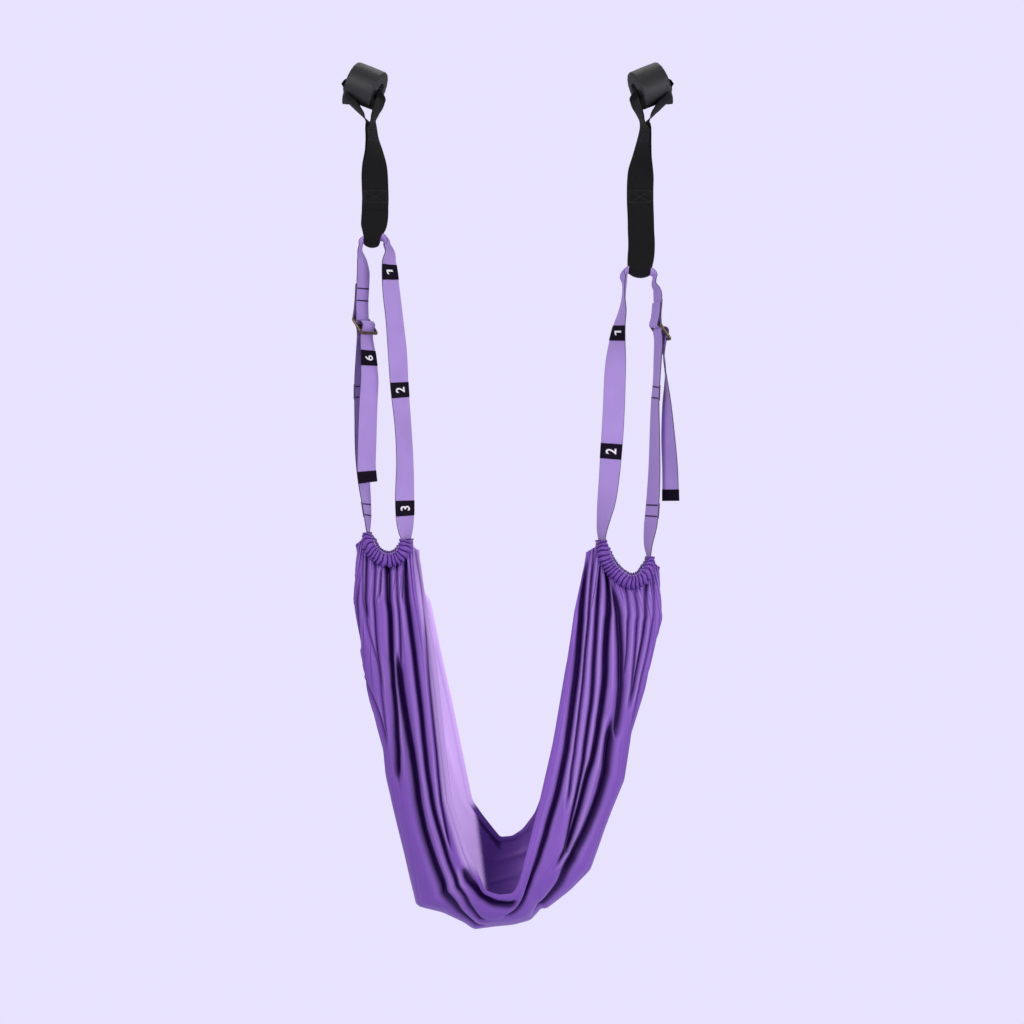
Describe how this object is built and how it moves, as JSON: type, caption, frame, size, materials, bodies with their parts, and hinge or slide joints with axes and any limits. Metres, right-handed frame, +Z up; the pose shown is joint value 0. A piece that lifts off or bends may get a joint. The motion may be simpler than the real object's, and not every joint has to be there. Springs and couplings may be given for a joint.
{
  "type": "aerial yoga door strap",
  "caption": "Over-door aerial yoga strap: roller door anchors on black straps, adjustable webbing loops with number labels, and a gathered fabric hammock.",
  "frame": {"origin": "midway between the sewn junctions of the two door anchors, where each anchor's loop closes below its roller", "axes": "+Z up, along the hanging straps; +X to the right as seen from the front; -Y is the front, where the person is, and the door is at +Y"},
  "size_m": [0.5786, 0.1826, 1.4586],
  "materials": {
    "black_webbing": "black polyester webbing, matte",
    "roller_fabric": "dark grey satin fabric over foam",
    "roller_foam": "dark closed-cell foam",
    "roller_core": "dark plastic tube",
    "purple_webbing": "lavender webbing with a fine weave",
    "purple_thread": "dark purple sewing thread",
    "black_thread": "black sewing thread",
    "label": "black woven tape",
    "buckle_metal": "dark bronze plated steel wire",
    "hammock_fabric": "purple stretch fabric with a satin sheen"
  },
  "bodies": {
    "door_anchors": {"left_anchor_webbing": "black_webbing", "left_anchor_stitches": "black_thread", "right_anchor_webbing": "black_webbing", "right_anchor_stitches": "black_thread"},
    "left_roller": {"left_roller_core": "roller_core", "left_roller_foam": "roller_foam", "left_roller_cover": "roller_fabric"},
    "right_roller": {"right_roller_core": "roller_core", "right_roller_foam": "roller_foam", "right_roller_cover": "roller_fabric"},
    "door_straps": {"left_door_strap": "black_webbing", "left_door_strap_stitches": "black_thread", "right_door_strap": "black_webbing", "right_door_strap_stitches": "black_thread"},
    "sling": {"hammock_panel": "hammock_fabric", "front_hem": "hammock_fabric", "rear_hem": "hammock_fabric", "left_adjuster_strand": "purple_webbing", "left_strap_loop": "purple_webbing", "left_feed_strand": "purple_webbing", "left_label_1": "label", "left_label_2": "label", "left_label_3": "label", "left_label_4": "label", "left_label_5": "label", "left_label_4_stitches": "purple_thread", "left_label_5_stitches": "purple_thread", "left_casing": "hammock_fabric", "left_casing_stitches": "purple_thread", "right_adjuster_strand": "purple_webbing", "right_strap_loop": "purple_webbing", "right_feed_strand": "purple_webbing", "right_label_1": "label", "right_label_2": "label", "right_label_3": "label", "right_label_4": "label", "right_label_5": "label", "right_label_4_stitches": "purple_thread", "right_label_5_stitches": "purple_thread", "right_casing": "hammock_fabric", "right_casing_stitches": "purple_thread"},
    "left_adjuster": {"left_buckle": "buckle_metal", "left_sewn_end": "purple_webbing", "left_sewn_end_stitches": "purple_thread", "left_threaded_bight": "purple_webbing"},
    "left_tail": {"left_tail": "purple_webbing", "left_label_6": "label", "left_tail_tab": "label"},
    "right_adjuster": {"right_buckle": "buckle_metal", "right_sewn_end": "purple_webbing", "right_sewn_end_stitches": "purple_thread", "right_threaded_bight": "purple_webbing"},
    "right_tail": {"right_tail": "purple_webbing", "right_label_6": "label", "right_tail_tab": "label"}
  },
  "joints": [
    {"name": "left_roller_spin", "type": "hinge", "parent": "door_anchors", "child": "left_roller", "pos_m": [-0.239, 0, 0.056], "axis": [0.8891, -0.2588, -0.3774], "continuous": true},
    {"name": "right_roller_spin", "type": "hinge", "parent": "door_anchors", "child": "right_roller", "pos_m": [0.241, 0, 0.056], "axis": [-0.8891, -0.2588, -0.3774], "continuous": true},
    {"name": "door_swing", "type": "hinge", "parent": "door_anchors", "child": "door_straps", "pos_m": [0, 0, -0.115], "axis": [-1, 0, 0], "range_deg": [-10, 60]},
    {"name": "sling_swing", "type": "hinge", "parent": "door_straps", "child": "sling", "pos_m": [-0.002, 0, -0.2265], "axis": [-0.9937, 0, 0.1121], "range_deg": [-25, 25]},
    {"name": "left_buckle_slide", "type": "slide", "parent": "sling", "child": "left_adjuster", "axis": [0, 0, -1], "range_m": [0, 0.05], "deforming": ["left_adjuster_strand", "left_feed_strand"]},
    {"name": "right_buckle_slide", "type": "slide", "parent": "sling", "child": "right_adjuster", "axis": [0, 0, -1], "range_m": [0, 0.05], "deforming": ["right_adjuster_strand", "right_feed_strand"]},
    {"name": "left_tail_swing", "type": "hinge", "parent": "left_adjuster", "child": "left_tail", "pos_m": [-0.23729, -0.0077, -0.367], "axis": [-0.5299, -0.848, 0], "range_deg": [0, 12]},
    {"name": "right_tail_swing", "type": "hinge", "parent": "right_adjuster", "child": "right_tail", "pos_m": [0.26201, -0.00091, -0.377], "axis": [0.342, -0.9397, 0], "range_deg": [0, 70]}
  ]
}
